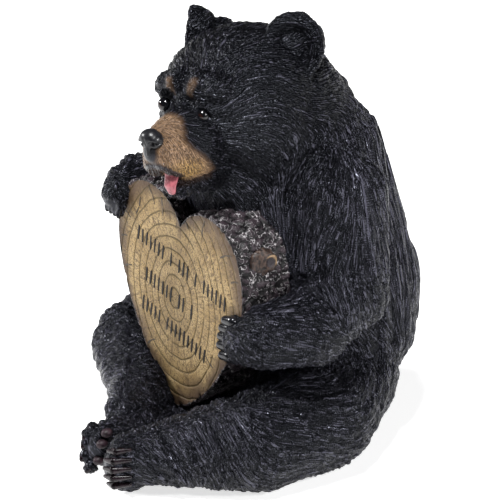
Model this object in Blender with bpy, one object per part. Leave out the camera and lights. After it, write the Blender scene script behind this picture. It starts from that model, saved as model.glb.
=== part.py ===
"""A seated black bear hugging a heart-shaped slice of log, cast in one piece of painted resin.

Metres, +Z up. The bear faces -Y, and its own left side is +X. The origin lies on the flat
underside, on the bear's middle plane, below its belly.
"""

import itertools
import math

import bmesh
import bpy
import numpy as np
from mathutils import Euler, Matrix, Vector, geometry

STATUE_HEIGHT = 0.217  # floor to the top of the left ear
SHARE = STATUE_HEIGHT / 217  # the figure's places and radii are written in 217ths of its height

HEART_WIDTH = 0.104
HEART_HEIGHT = 0.1105
HEART_THICKNESS = 0.027
HEART_TIP_HEIGHT = 0.0185  # floor to the tip
HEART_TIP_DRIFT = 0.0035  # how far the tip leans to the bear's right
HEART_FACE_FORWARD = 0.040  # middle of the seat to the cut face
BARK_ROWS = 4
BARK_PITCH = 0.008
BARK_DEPTH = 0.0012
KNOT_RISE = 0.0935  # tip to the middle of the knot, up the heart's +X side
KNOT_RADIUS = 0.0062
STROKE_ROWS = [  # each row's ends, in shares of the heart's half width and of its height
    ((-0.673, 0.724), (0.721, 0.638)),
    ((-0.548, 0.548), (0.298, 0.493)),
    ((-0.606, 0.403), (0.413, 0.326)),
]
STROKE_HEIGHT = 0.0085
STROKE_WIDTH = 0.0011
STROKE_DEPTH = 0.0006
STROKE_PITCH = 0.0034

CLAY_GRAIN = 0.0016  # edge of the cells in which the lumps are fused
SOCKET_REACH = 9
SOCKET_DEPTH = 3.2
LOCK_PITCH = 9
LOCK_LENGTH = 30
LOCK_DEPTH = 1.1
FIRST_TRIANGLES = 13500  # the whole bear, before the second thinning that spares the fine places
BEAR_TRIANGLES = 8200
SEED = 7

# The paws close on the heart, so they take their places from it.
GRIP = HEART_WIDTH / 2 / SHARE
FACE = -HEART_FACE_FORWARD / SHARE
TOP = (HEART_TIP_HEIGHT + HEART_HEIGHT) / SHARE
HOLD = (HEART_TIP_HEIGHT + 0.52 * HEART_HEIGHT) / SHARE

# Each limb runs from the trunk to the paw as (place, radius).
LEFT_ARM = [
    ((45, 19, 134), 22),
    ((63, 11, 92), 19),
    ((GRIP + 9, -9, HOLD + 2), 18.5),
    ((GRIP + 3, FACE + 9, HOLD + 1), 16),
    ((GRIP, FACE + 2, HOLD), 12),
]
RIGHT_ARM = [
    ((-43, 19, 134), 22),
    ((-62, 4, 106), 17),
    ((-GRIP - 3.5, FACE + 14, TOP - 14), 12.5),
    ((0.5 - GRIP, FACE + 3, TOP - 12.5), 10),
]
LEFT_LEG = [
    ((34, 24, 34), 32),
    ((52, 3, 26), 28.5),
    ((53, -33, 22), 24.5),
    ((34, -66, 18), 17),
    ((27, -79, 17), 14),
]
RIGHT_LEG = [
    ((-34, 26, 34), 32),
    ((-53, 2, 30), 29),
    ((-57, -22, 24), 25),
    ((-24, -44, 20), 17),
    ((-10, -62, 18), 12),
]
BARE_PLACES = [  # the toes, which carry no fur, as (place, reach)
    ((26, -95, 16), 13),
    ((1, -92, 14), 14),
    ((GRIP - 10, FACE - 2, HOLD), 14),
    ((2 - GRIP, FACE - 3, TOP - 20), 11),
]
FOOT_END = ((25, -86, 15), (10, 14, 16))  # the left foot's round end, as centre and radii
RIGHT_TOES = [(-2, -88.7, 22), (-3, -91.3, 19), (-2, -92.7, 15.2), (-1, -94.2, 9.5), (3, -94, 5)]
HEAD_CENTRE = (-1, -5, 172)
HEAD_TURN = Euler((math.radians(-4), math.radians(-12), math.radians(17)), "XYZ")
HEAD_PLACE = Matrix.LocRotScale(Vector(HEAD_CENTRE), HEAD_TURN, None)  # the nose points to its -Y
EYES = [(-13.2, -37.8, 7.4), (11.4, -36.0, 4.5)]  # in the head's own space, the right eye a little higher
EARS = [  # each hollow ear's centre, radii and turn
    ((-31.5, 7.5, 24.5), (12, 14, 17), (-10, -6, -57)),
    ((29.5, 8.5, 24.5), (14.5, 12, 17), (-10, 6, 38)),
]


def clear_scene():
    for obj in list(bpy.data.objects):
        bpy.data.objects.remove(obj)


class Lumps:
    """Closed shapes gathered for one form. Places and radii are in 217ths of the height."""

    def __init__(self, place=None):
        self.mesh = bmesh.new()
        self.place = place or Matrix.Identity(4)

    def ball(self, centre, radii, turn=(0, 0, 0)):
        """An ellipsoid. turn is in degrees about X, Y and Z."""
        radii = (radii,) * 3 if isinstance(radii, (int, float)) else radii
        angles = Euler([math.radians(a) for a in turn], "XYZ")
        fit = self.place @ Matrix.LocRotScale(Vector(centre), angles, Vector(radii))
        bmesh.ops.create_uvsphere(
            self.mesh, u_segments=32, v_segments=20, radius=1, matrix=Matrix.Scale(SHARE, 4) @ fit
        )

    def bone(self, start, end, radii_start, radii_end):
        """The hull round two balls or ellipsoids."""
        ends = bmesh.new()
        for centre, radii in ((start, radii_start), (end, radii_end)):
            radii = (radii,) * 3 if isinstance(radii, (int, float)) else radii
            fit = Matrix.LocRotScale(Vector(centre), None, Vector(radii))
            bmesh.ops.create_uvsphere(ends, u_segments=24, v_segments=14, radius=1, matrix=fit)
        hull = bmesh.ops.convex_hull(ends, input=ends.verts)
        bmesh.ops.delete(ends, geom=hull["geom_interior"], context="VERTS")
        ends.transform(Matrix.Scale(SHARE, 4) @ self.place)
        part = bpy.data.meshes.new("bone")
        ends.to_mesh(part)
        self.mesh.from_mesh(part)
        bpy.data.meshes.remove(part)
        ends.free()

    def cup(self, centre, radii, turn):
        """A ball whose front, towards -Y, is pushed in to a bowl with a round rim."""
        angles = Euler([math.radians(a) for a in turn], "XYZ")
        fit = self.place @ Matrix.LocRotScale(Vector(centre), angles, Vector(radii))
        bowl = bmesh.new()
        bmesh.ops.create_uvsphere(bowl, u_segments=40, v_segments=28, radius=1)
        for vert in bowl.verts:
            inward = (-0.2 - vert.co.y) / 0.8
            if inward > 0:
                narrow = 1 - 0.3 * min(1, 4 * inward)
                vert.co = Vector((vert.co.x * narrow, -0.2 + 0.75 * inward, vert.co.z * narrow))
        bowl.transform(Matrix.Scale(SHARE, 4) @ fit)
        part = bpy.data.meshes.new("cup")
        bowl.to_mesh(part)
        self.mesh.from_mesh(part)
        bpy.data.meshes.remove(part)
        bowl.free()

    def limb(self, joints):
        """Bones through a list of (place, radius)."""
        for (start, radius_start), (end, radius_end) in itertools.pairwise(joints):
            self.bone(start, end, radius_start, radius_end)


def object_of(name, mesh):
    data = bpy.data.meshes.new(name)
    mesh.to_mesh(data)
    mesh.free()
    obj = bpy.data.objects.new(name, data)
    bpy.context.scene.collection.objects.link(obj)
    return obj


def settled(obj):
    """The object with its modifiers made real."""
    graph = bpy.context.evaluated_depsgraph_get()
    data = bpy.data.meshes.new_from_object(obj.evaluated_get(graph))
    obj.modifiers.clear()
    obj.data = data
    return obj


def fused(name, lumps, grain, rounds):
    """One skin round all the lumps, smoothed a number of rounds."""
    obj = object_of(name, lumps.mesh)
    remesh = obj.modifiers.new("fuse", "REMESH")
    remesh.mode = "VOXEL"
    remesh.voxel_size = grain
    if rounds:
        smooth = obj.modifiers.new("smooth", "SMOOTH")
        smooth.factor = 0.5
        smooth.iterations = rounds
    return settled(obj)


def joined(objects):
    """The objects' shapes as lumps for another fusing."""
    lumps = Lumps()
    for obj in objects:
        lumps.mesh.from_mesh(obj.data)
        bpy.data.objects.remove(obj)
    return lumps


def torso():
    """The trunk from the seat to the neck, the throat and the chest behind the heart."""
    lumps = Lumps()
    lumps.limb([
        ((0, 24, 30), (55, 42, 34)),
        ((0, 29, 52), (62, 52, 42)),
        ((0, 30, 74), (62, 52, 40)),
        ((0, 28, 106), (54, 45, 35)),
        ((0, 24, 141), (43, 41, 30)),
        ((-1, 10, 168), (36, 36, 32)),
    ])
    lumps.bone((-3, -6, 156), (0, 8, 128), 33, 40)
    for side in (-1, 1):
        lumps.bone((side * 22, 0, 124), (side * 36, 2, 84), 20, 21)
    return fused("torso", lumps, CLAY_GRAIN, 20)


def limbs():
    """The four limbs, the right paw's back, the fill between the thighs and the two soles."""
    lumps = Lumps()
    for joints in (LEFT_ARM, RIGHT_ARM, LEFT_LEG, RIGHT_LEG):
        lumps.limb(joints)
    lumps.bone((0.5 - GRIP, FACE + 2, TOP - 13), (0.5 - GRIP, FACE - 2, TOP - 16.5), 9.5, 7.5)
    lumps.bone((6, -8, 12), (4, -48, 1), 22, 13)
    lumps.ball(*FOOT_END)
    lumps.ball((2, -80, 14), (8, 15, 13.5))
    return fused("limbs", lumps, CLAY_GRAIN, 8)


def around_foot(turn, height, lift):
    """A place on the left foot's round end, turned in degrees from its outer side to its front."""
    (x, y, z), (wide, deep, tall) = FOOT_END
    squeeze = math.sqrt(1 - ((height - z) / tall) ** 2)
    angle = math.radians(turn)
    across = (wide * squeeze + lift) * math.cos(angle)
    forward = (deep * squeeze + lift) * math.sin(angle)
    return (x + across, y - forward, height)


def toes():
    """Five long claws round the left foot's end, five toes on the right foot, and the fingers."""
    lumps = Lumps()
    for i in range(5):
        height = 8 + 4.3 * i
        bend = around_foot(64, height, 1)
        lumps.bone(around_foot(34, height, 0.3), bend, 1.8, 2.3)
        lumps.bone(bend, around_foot(96, height - 0.8, 0), 2.3, 1.6)
        height = HOLD - 10 + 4.8 * i
        lumps.bone((GRIP - 7, FACE - 1, height), (GRIP - 14, FACE - 3.5, height - 1), 3.4, 2.4)
    for place in RIGHT_TOES:
        lumps.ball(place, 3.2)
    for i in range(4):
        across = 3.2 * i - GRIP - 1.5
        lumps.bone((across - 1, FACE - 3, TOP - 18), (across, FACE - 5, TOP - 23), 2.8, 2.0)
    return fused("toes", lumps, CLAY_GRAIN / 2, 1)


def head():
    """The skull, brows and cheeks, the muzzle over its two flews, and the jaw below them."""
    lumps = Lumps(HEAD_PLACE)
    lumps.ball((0, 2, 0), (38, 40.5, 35))
    lumps.ball((0, -19, 5), (24, 23, 21))
    for side in (-1, 1):
        lumps.bone((side * 18, -8, -10), (side * 14, 8, -30), (21, 20, 22), (24, 24, 24))
        lumps.ball((side * 11.5, -31.5, 14), (10.5, 8.5, 8))
        lumps.bone((side * 22, 18, 25), (side * 18, 14, 14), 8.5, 15)
        lumps.bone((side * 6, -42, -10), (side * 3.5, -58, -10), 12, 7.5)
        lumps.bone((side * 9.5, -40, -17), (side * 6, -57.5, -16.5), 8, 6)
        lumps.bone((side * 6, -57.5, -16.5), (side * 3, -61.5, -13), 6, 5.4)
    lumps.bone((0, -30, -3), (0, -58, -4.5), 15, 8)
    lumps.bone((0, -26, -24), (0, -51, -28.5), 12.5, 7)
    return fused("head", lumps, CLAY_GRAIN, 3)


def sink_sockets(obj):
    """Presses the two eye sockets into the head."""
    points, _ = arrays_of(obj.data)
    inward = np.array(HEAD_TURN.to_matrix() @ Vector((0, 1, 0)))
    for across, forward, height in EYES:
        place = np.array(HEAD_PLACE @ Vector((across * 0.85, forward - 4, height + 2)))
        gap = np.linalg.norm(points / SHARE - place, axis=1) / SOCKET_REACH
        dip = np.clip(1 - gap ** 2, 0, 1) ** 2
        points += inward * (dip * SOCKET_DEPTH * SHARE)[:, None]
    obj.data.vertices.foreach_set("co", points.ravel())
    obj.data.update()


def ears():
    lumps = Lumps(HEAD_PLACE)
    for centre, radii, turn in EARS:
        lumps.cup(centre, radii, turn)
    return fused("ears", lumps, CLAY_GRAIN / 2, 2)


def face():
    """The nose pad, the eyeballs and the tip of the tongue."""
    lumps = Lumps(HEAD_PLACE)
    lumps.ball((0, -66, -1.2), (6.4, 5, 4.6))
    for eye in EYES:
        lumps.ball(eye, 4.0)
    lumps.bone((3.6, -55, -20), (3.9, -60.5, -27), (3.9, 2, 2), (3, 1.8, 2))
    return fused("face", lumps, CLAY_GRAIN / 2, 1)


def smooth_noise(points):
    """One value from -1 to 1 for each point, in cells one unit wide."""
    cell = np.floor(points)
    part = points - cell
    part = part * part * (3 - 2 * part)
    total = np.zeros(len(points))
    for corner in itertools.product((0, 1), repeat=3):
        key = (cell + corner) @ (12.9898, 78.233, 37.719) + SEED
        value = np.modf(np.sin(key) * 43758.5453)[0]
        total += value * np.prod(np.where(corner, part, 1 - part), axis=1)
    return total


def fur_lines(points, normals):
    """The way the fur lies at each point: back from the nose, down the trunk, along the limbs."""
    nose = np.array(HEAD_PLACE @ Vector((0, -75, 4)))
    total = np.zeros_like(points)
    head_reach = np.linalg.norm(points - HEAD_CENTRE, axis=1) - 36
    near = 1 / (np.maximum(head_reach, 0) + 3) ** 3
    away = points - nose
    away /= np.linalg.norm(away, axis=1)[:, None]
    total += near[:, None] * (away + (0, 0, -0.25))
    trunk_reach = np.linalg.norm((points - (0, 28, 80)) / (58, 48, 76), axis=1) - 1
    near = 1 / (np.maximum(trunk_reach * 50, 0) + 5) ** 3
    total += near[:, None] * np.array((0, 0, -1))
    for joints in (LEFT_ARM, RIGHT_ARM, LEFT_LEG, RIGHT_LEG):
        for (start, radius), (end, _) in itertools.pairwise(joints):
            start, along = np.array(start), np.subtract(end, start)
            share = np.clip((points - start) @ along / (along @ along), 0, 1)
            reach = np.linalg.norm(points - start - share[:, None] * along, axis=1) - radius
            near = 1 / (np.maximum(reach, 0) + 3) ** 3
            if joints in (LEFT_LEG, RIGHT_LEG):
                rise, back = (points[:, 2] - 24) / 26 ** 2, (points[:, 1] + 14) / 60 ** 2
                way = np.column_stack((np.zeros(len(points)), -rise, back))
                way /= np.linalg.norm(way, axis=1)[:, None] + 1e-9
            else:
                way = along / np.linalg.norm(along)
            total += near[:, None] * way
    total -= np.sum(total * normals, axis=1)[:, None] * normals
    return total / (np.linalg.norm(total, axis=1)[:, None] + 1e-9)


def combed(points, lines, pitch, length):
    """Noise drawn out along the fur's lines, folded so that sharp furrows part round locks."""
    steps = np.linspace(-0.5, 0.5, 7)
    drawn = sum(smooth_noise((points + lines * step * length) / pitch) for step in steps)
    return np.minimum(np.abs(drawn) / len(steps) * 5, 1.4) - 0.7


def arrays_of(mesh):
    points = np.empty(len(mesh.vertices) * 3)
    normals = np.empty(len(mesh.vertices) * 3)
    mesh.vertices.foreach_get("co", points)
    mesh.vertex_normals.foreach_get("vector", normals)
    return points.reshape(-1, 3), normals.reshape(-1, 3)


def comb_fur(obj):
    """Raises the locks that show from a step away, everywhere but on the face and the toes."""
    points, normals = arrays_of(obj.data)
    places = points / SHARE
    height = combed(places, fur_lines(places, normals), LOCK_PITCH, LOCK_LENGTH)
    bare = [(HEAD_PLACE @ Vector((0, -50, -5)), 34)]
    bare += [(Vector(place), reach) for place, reach in BARE_PLACES]
    for place, reach in bare:
        gap = np.linalg.norm(places - np.array(place), axis=1) / reach
        height *= np.clip((gap - 0.75) * 4, 0, 1)
    points += normals * (height * LOCK_DEPTH * SHARE)[:, None]
    obj.data.vertices.foreach_set("co", points.ravel())
    obj.data.update()


def heart_outline(steps):
    """Points round the heart in its own plane, from the notch round its +X side and back."""
    notch, shoulder = Vector((0, 0.875)), Vector((0.47, 1.0))
    widest, tip = Vector((1.0, 0.69)), Vector((0, 0))
    curves = [
        (notch, Vector((0.09, 0.95)), Vector((0.25, 1.0)), shoulder),
        (shoulder, Vector((0.80, 1.0)), Vector((1.0, 0.87)), widest),
        (widest, Vector((1.0, 0.46)), Vector((0.42, 0.06)), tip),
    ]
    side = [p for knots in curves for p in geometry.interpolate_bezier(*knots, steps)[:-1]]
    whole = side + [tip] + [Vector((-p.x, p.y)) for p in reversed(side[1:])]
    drifts = [HEART_TIP_DRIFT * (1 - p.y) ** 2 for p in whole]
    return [Vector((p.x * HEART_WIDTH / 2 - drift, p.y * HEART_HEIGHT)) for p, drift in zip(whole, drifts)]


def heart():
    """The slab of log, its bark side lumpy and its cut face flat, with the knot of a lost branch."""
    mesh = bmesh.new()
    outline = heart_outline(9)
    rows = []
    for layer in range(BARK_ROWS):
        depth = HEART_THICKNESS * layer / (BARK_ROWS - 1) - HEART_FACE_FORWARD
        rows.append([mesh.verts.new((p.x, depth, HEART_TIP_HEIGHT + p.y)) for p in outline])
    for front, behind in itertools.pairwise(rows):
        for i in range(len(outline)):
            mesh.faces.new((front[i - 1], front[i], behind[i], behind[i - 1]))
    mesh.faces.new(reversed(rows[0]))
    mesh.faces.new(rows[-1])
    mesh.normal_update()
    places = np.array([v.co for row in rows[1:] for v in row])
    bumps = smooth_noise(places / BARK_PITCH)
    for vert, bump in zip([v for row in rows[1:] for v in row], bumps):
        outward = Vector((vert.normal.x, 0, vert.normal.z))
        vert.co += outward * float(bump) * BARK_DEPTH
    bmesh.ops.recalc_face_normals(mesh, faces=mesh.faces)
    bmesh.ops.triangulate(mesh, faces=mesh.faces)
    slab = object_of("heart", mesh)
    knot = bmesh.new()
    bmesh.ops.create_uvsphere(knot, u_segments=12, v_segments=8, radius=KNOT_RADIUS)
    bmesh.ops.scale(knot, vec=(0.8, 1, 1), verts=knot.verts)
    beside = min((p for p in outline if p.x > 0), key=lambda p: abs(p.y - KNOT_RISE))
    place = (beside.x, HEART_THICKNESS / 2 - HEART_FACE_FORWARD, HEART_TIP_HEIGHT + KNOT_RISE)
    bmesh.ops.translate(knot, verts=knot.verts, vec=place)
    combine(slab, object_of("knot", knot), "UNION")
    return slab


def strokes():
    """Rows of shallow strokes for the inscription. They spell nothing."""
    mesh = bmesh.new()
    random = np.random.default_rng(SEED)
    for ends in STROKE_ROWS:
        left, right = (share * HEART_WIDTH / 2 for share, _ in ends)
        left_height, right_height = (HEART_TIP_HEIGHT + share * HEART_HEIGHT for _, share in ends)
        fall = math.atan2(left_height - right_height, right - left)
        place = left
        while place < right:
            length = STROKE_HEIGHT * random.uniform(0.88, 1)
            lean = fall + random.uniform(-0.14, 0.14)
            height = left_height - (place - left) * math.tan(fall)
            fit = Matrix.LocRotScale(
                Vector((place, -HEART_FACE_FORWARD, height)),
                Euler((0, lean, 0)),
                Vector((STROKE_WIDTH, 2 * STROKE_DEPTH, length)),
            )
            bmesh.ops.create_cube(mesh, size=1, matrix=fit)
            place += STROKE_PITCH * (2 if random.random() < 0.22 else 1)
    return object_of("strokes", mesh)


def combine(obj, other, operation):
    """A Boolean with the exact solver, after which the other object is gone."""
    cut = obj.modifiers.new(operation.lower(), "BOOLEAN")
    cut.operation = operation
    cut.solver = "EXACT"
    cut.object = other
    settled(obj)
    bpy.data.objects.remove(other)


def floor_block():
    mesh = bmesh.new()
    size = 3 * STATUE_HEIGHT
    bmesh.ops.create_cube(mesh, size=size, matrix=Matrix.Translation((0, 0, -size / 2)))
    return object_of("floor", mesh)


def keep_outer_skin(obj):
    """Drops closed pockets that the union left inside."""
    mesh = bmesh.new()
    mesh.from_mesh(obj.data)
    left = set(mesh.verts)
    skins = []
    while left:
        skin, edge = set(), [left.pop()]
        while edge:
            vert = edge.pop()
            skin.add(vert)
            for link in vert.link_edges:
                other = link.other_vert(vert)
                if other in left:
                    left.remove(other)
                    edge.append(other)
        skins.append(skin)
    skins.sort(key=len)
    for skin in skins[:-1]:
        bmesh.ops.delete(mesh, geom=list(skin), context="VERTS")
    bmesh.ops.triangulate(mesh, faces=mesh.faces)
    mesh.to_mesh(obj.data)
    mesh.free()


def thin_out(obj, triangles, fine_places=()):
    """Collapses to a number of triangles, all of them taken away from the fine places."""
    thin = obj.modifiers.new("thin", "DECIMATE")
    if fine_places:
        group = obj.vertex_groups.new(name="coarse")
        points, _ = arrays_of(obj.data)
        keep = np.zeros(len(points), dtype=bool)
        for place, reach in fine_places:
            keep |= np.linalg.norm(points / SHARE - np.array(place), axis=1) < reach
        group.add([int(i) for i in np.flatnonzero(~keep)], 1, "REPLACE")
        thin.vertex_group = group.name
        thin.vertex_group_factor = 0
    faces = sum(len(face.vertices) - 2 for face in obj.data.polygons)
    thin.ratio = triangles / faces
    settled(obj)


def paint(obj):
    material = bpy.data.materials.new("painted resin")
    material.use_nodes = True
    shader = material.node_tree.nodes["Principled BSDF"]
    shader.inputs["Base Color"].default_value = (0.022, 0.022, 0.026, 1)
    shader.inputs["Roughness"].default_value = 0.38
    shader.inputs["Metallic"].default_value = 0
    obj.data.materials.clear()
    obj.data.materials.append(material)
    obj.data.shade_smooth()
    obj.data.set_sharp_from_angle(angle=math.radians(45))


def main():
    clear_scene()
    body = fused("body", joined([torso(), limbs()]), CLAY_GRAIN, 7)
    body = fused("body", joined([body, head()]), CLAY_GRAIN, 3)
    sink_sockets(body)
    bear = fused("bear_statue", joined([body, toes(), ears(), face()]), CLAY_GRAIN / 1.6, 1)
    comb_fur(bear)
    thin_out(bear, FIRST_TRIANGLES)
    thin_out(bear, BEAR_TRIANGLES, [(HEAD_PLACE @ Vector((0, -20, 4)), 48), *BARE_PLACES])
    combine(bear, heart(), "UNION")
    combine(bear, floor_block(), "DIFFERENCE")
    combine(bear, strokes(), "DIFFERENCE")
    keep_outer_skin(bear)
    paint(bear)


main()
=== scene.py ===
"""Looks of a seated black bear that hugs a heart-shaped slice of log, cast in one piece and painted.

Metres, +Z up. The bear faces -Y, its own left side is +X, and the photograph looks at it from there.
Places on the figure are written in shares of its height, as a sculptor would mark them on the clay.
"""

import itertools
import math

import bpy
import numpy as np
from mathutils import Euler, Matrix, Vector, geometry


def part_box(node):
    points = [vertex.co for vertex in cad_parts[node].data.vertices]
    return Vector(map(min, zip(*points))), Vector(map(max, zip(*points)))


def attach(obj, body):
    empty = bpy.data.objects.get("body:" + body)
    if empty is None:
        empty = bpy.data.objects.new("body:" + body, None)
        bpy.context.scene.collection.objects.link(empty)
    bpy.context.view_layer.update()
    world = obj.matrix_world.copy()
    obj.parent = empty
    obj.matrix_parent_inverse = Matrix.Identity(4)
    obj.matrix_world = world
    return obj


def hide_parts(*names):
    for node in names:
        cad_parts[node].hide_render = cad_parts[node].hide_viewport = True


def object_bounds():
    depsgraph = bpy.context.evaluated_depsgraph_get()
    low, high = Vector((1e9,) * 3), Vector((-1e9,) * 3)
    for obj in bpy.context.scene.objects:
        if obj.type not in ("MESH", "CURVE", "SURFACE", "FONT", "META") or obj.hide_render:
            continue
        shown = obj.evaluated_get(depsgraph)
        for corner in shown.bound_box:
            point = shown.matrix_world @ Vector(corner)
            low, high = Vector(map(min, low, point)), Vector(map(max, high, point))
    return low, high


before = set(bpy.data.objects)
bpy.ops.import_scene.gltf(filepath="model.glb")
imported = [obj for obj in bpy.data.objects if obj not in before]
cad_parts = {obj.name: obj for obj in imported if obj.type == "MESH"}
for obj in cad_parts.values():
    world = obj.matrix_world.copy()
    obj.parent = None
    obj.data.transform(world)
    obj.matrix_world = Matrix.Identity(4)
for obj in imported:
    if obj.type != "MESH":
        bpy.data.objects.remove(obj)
CAD_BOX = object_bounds()

NODE = "bear_statue"
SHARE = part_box(NODE)[1].z / 217  # the figure's places and radii are in 217ths of its height

HEART_WIDTH = 0.104
HEART_HEIGHT = 0.1105
HEART_THICKNESS = 0.027
HEART_TIP_HEIGHT = 0.0185
HEART_TIP_DRIFT = 0.0035
HEART_FACE_FORWARD = 0.040
PITH = (-0.0055, 0.0570)  # middle of the growth rings, across and up from the tip
KNOT_RISE = 0.0935

# The paws close on the heart, so they take their places from it.
GRIP = HEART_WIDTH / 2 / SHARE
FACE = -HEART_FACE_FORWARD / SHARE
TOP = (HEART_TIP_HEIGHT + HEART_HEIGHT) / SHARE
HOLD = (HEART_TIP_HEIGHT + 0.52 * HEART_HEIGHT) / SHARE

# Each limb runs from the trunk to the paw as (place, radius).
LEFT_ARM = [
    ((45, 19, 134), 22),
    ((63, 11, 92), 19),
    ((GRIP + 9, -9, HOLD + 2), 18.5),
    ((GRIP + 3, FACE + 9, HOLD + 1), 16),
    ((GRIP, FACE + 2, HOLD), 12),
]
RIGHT_ARM = [
    ((-43, 19, 134), 22),
    ((-62, 4, 106), 17),
    ((-GRIP - 3.5, FACE + 14, TOP - 14), 12.5),
    ((0.5 - GRIP, FACE + 3, TOP - 12.5), 10),
]
LEFT_LEG = [
    ((34, 24, 34), 32),
    ((52, 3, 26), 28.5),
    ((53, -33, 22), 24.5),
    ((34, -66, 18), 17),
    ((27, -79, 17), 14),
]
RIGHT_LEG = [
    ((-34, 26, 34), 32),
    ((-53, 2, 30), 29),
    ((-57, -22, 24), 25),
    ((-24, -44, 20), 17),
    ((-10, -62, 18), 12),
]
FOOT_END = ((25, -86, 15), (10, 14, 16))  # the left foot's round end, as centre and radii
LIMBS = (LEFT_ARM, RIGHT_ARM, LEFT_LEG, RIGHT_LEG)
TRUNK = ((0, 28, 80), (58, 48, 76))  # an ellipsoid round it, as centre and radii
FINGER_REACHES = (10.5, 12, 11.4, 10.2, 8)
LEFT_FINGERS = [(HOLD - 10 + 4.8 * i, reach) for i, reach in enumerate(FINGER_REACHES)]  # height, reach
RIGHT_FINGERS = [3.2 * i - GRIP - 1.5 for i in range(4)]  # how far across each lies
LEFT_TOES = [8 + 4.3 * i for i in range(5)]  # how high each lies
RIGHT_TOES = [(-2, -88.7, 22), (-3, -91.3, 19), (-2, -92.7, 15.2), (-1, -94.2, 9.5), (3, -94, 5)]
RIGHT_PADS = [(7, -87.3, 23), (7.4, -90.3, 18.2), (6.2, -91.6, 9.4)]
HEAD_CENTRE = (-1, -5, 172)
HEAD_TURN = Euler((math.radians(-4), math.radians(-12), math.radians(17)), "XYZ")
HEAD_PLACE = Matrix.LocRotScale(Vector(HEAD_CENTRE), HEAD_TURN, None)  # the nose points to its -Y
EYES = [(-14.0, -37.0, 6.0), (8.8, -38.1, 2.5)]  # in the head's own space, the right eye a little higher
EYE_RADIUS = 3.7
EARS = [  # each hollow ear's centre, radii and turn
    ((-31.5, 7.5, 24.5), (12, 14, 17), (-10, -6, -57)),
    ((29.5, 8.5, 24.5), (14.5, 12, 17), (-10, 6, 38)),
]
BROWS = [((-6.0, 13.8), (-6.8, 19)), ((4.8, 13.2), (7.8, 19))]  # each sprayed streak's ends, across and up
NOSE = (0, -66.2, -1.6)
# The face from the side: the upper lip's edge as (forward, height), the tan's edge as (drop, forward).
LIP_EDGE = ((40, 43, 52, 57, 61.5, 66, 71), (-20, -22.4, -22.3, -21, -18.6, -15.4, -12))
TAN_EDGE = ((-4.4, 0.7, 4.6, 8.8, 13.4, 22.8), (49.3, 51.6, 54, 52.2, 47.5, 40.5))

CLAY_GRAIN = 0.0016
HEAD_GRAIN = 0.0009
SKIN_GRAIN = 0.00065
DETAIL_GRAIN = 0.0004
FLOOR_GAP = 3e-5  # the skin's flat underside lies this far above the floor
EDGE_EASE = 0.0015  # within this of the CAD's box, what stands out is eased back
SEED = 7


# Working with lumps of clay

def deselect():
    bpy.ops.object.select_all(action="DESELECT")


def choose(obj):
    deselect()
    obj.select_set(True)
    bpy.context.view_layer.objects.active = obj


def worked(obj, kind, **settings):
    """A modifier added, set and applied."""
    choose(obj)
    modifier = obj.modifiers.new(kind.lower(), kind)
    for name, value in settings.items():
        setattr(modifier, name, value)
    bpy.ops.object.modifier_apply(modifier=modifier.name)
    return obj


def welded(name, objects):
    """The objects joined into one."""
    choose(objects[0])
    for obj in objects:
        obj.select_set(True)
    bpy.ops.object.join()
    obj = bpy.context.object
    obj.name = obj.data.name = name
    return obj


def rounded(obj):
    """The object, shaded smooth."""
    choose(obj)
    bpy.ops.object.shade_smooth()
    return obj


def opened():
    """Enters edit mode with everything selected."""
    bpy.ops.object.mode_set(mode="EDIT")
    bpy.ops.mesh.select_all(action="SELECT")


def faced_out():
    """Turns the edited object's faces outwards and leaves edit mode."""
    bpy.ops.mesh.select_all(action="SELECT")
    bpy.ops.mesh.normals_make_consistent(inside=False)
    bpy.ops.object.mode_set(mode="OBJECT")


def ball(centre, radii, turn=(0, 0, 0), place=Matrix.Identity(4)):
    """An ellipsoid. turn is in degrees about X, Y and Z."""
    radii = (radii,) * 3 if isinstance(radii, (int, float)) else radii
    angles = Euler([math.radians(a) for a in turn], "XYZ")
    bpy.ops.mesh.primitive_uv_sphere_add(segments=32, ring_count=20, radius=1)
    lump = bpy.context.object
    fit = Matrix.LocRotScale(Vector(centre), angles, Vector(radii))
    lump.data.transform(Matrix.Scale(SHARE, 4) @ place @ fit)
    return lump


def bone(start, end, radii_start, radii_end, place=Matrix.Identity(4)):
    """The hull round two balls or ellipsoids."""
    lump = welded("bone", [ball(start, radii_start, place=place), ball(end, radii_end, place=place)])
    opened()
    bpy.ops.mesh.convex_hull()
    bpy.ops.object.mode_set(mode="OBJECT")
    return lump


def limb(joints):
    """Bones through a list of (place, radius)."""
    return [bone(start, end, wide, narrow) for (start, wide), (end, narrow) in itertools.pairwise(joints)]


def cup(centre, radii, turn, place):
    """A ball whose front, towards -Y, is pushed in to a bowl with a round rim."""
    lump = ball((0, 0, 0), 1 / SHARE)
    for vert in lump.data.vertices:
        inward = (-0.2 - vert.co.y) / 0.8
        if inward > 0:
            narrow = 1 - 0.3 * min(1, 4 * inward)
            vert.co = Vector((vert.co.x * narrow, -0.2 + 0.75 * inward, vert.co.z * narrow))
    angles = Euler([math.radians(a) for a in turn], "XYZ")
    fit = Matrix.LocRotScale(Vector(centre), angles, Vector(radii))
    lump.data.transform(Matrix.Scale(SHARE, 4) @ place @ fit)
    return lump


def fused(name, lumps, grain, rounds):
    """One skin round all the lumps, smoothed a number of rounds."""
    obj = welded(name, lumps)
    worked(obj, "REMESH", mode="VOXEL", voxel_size=grain)
    return worked(obj, "SMOOTH", factor=0.5, iterations=rounds)


# The figure's forms

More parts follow.
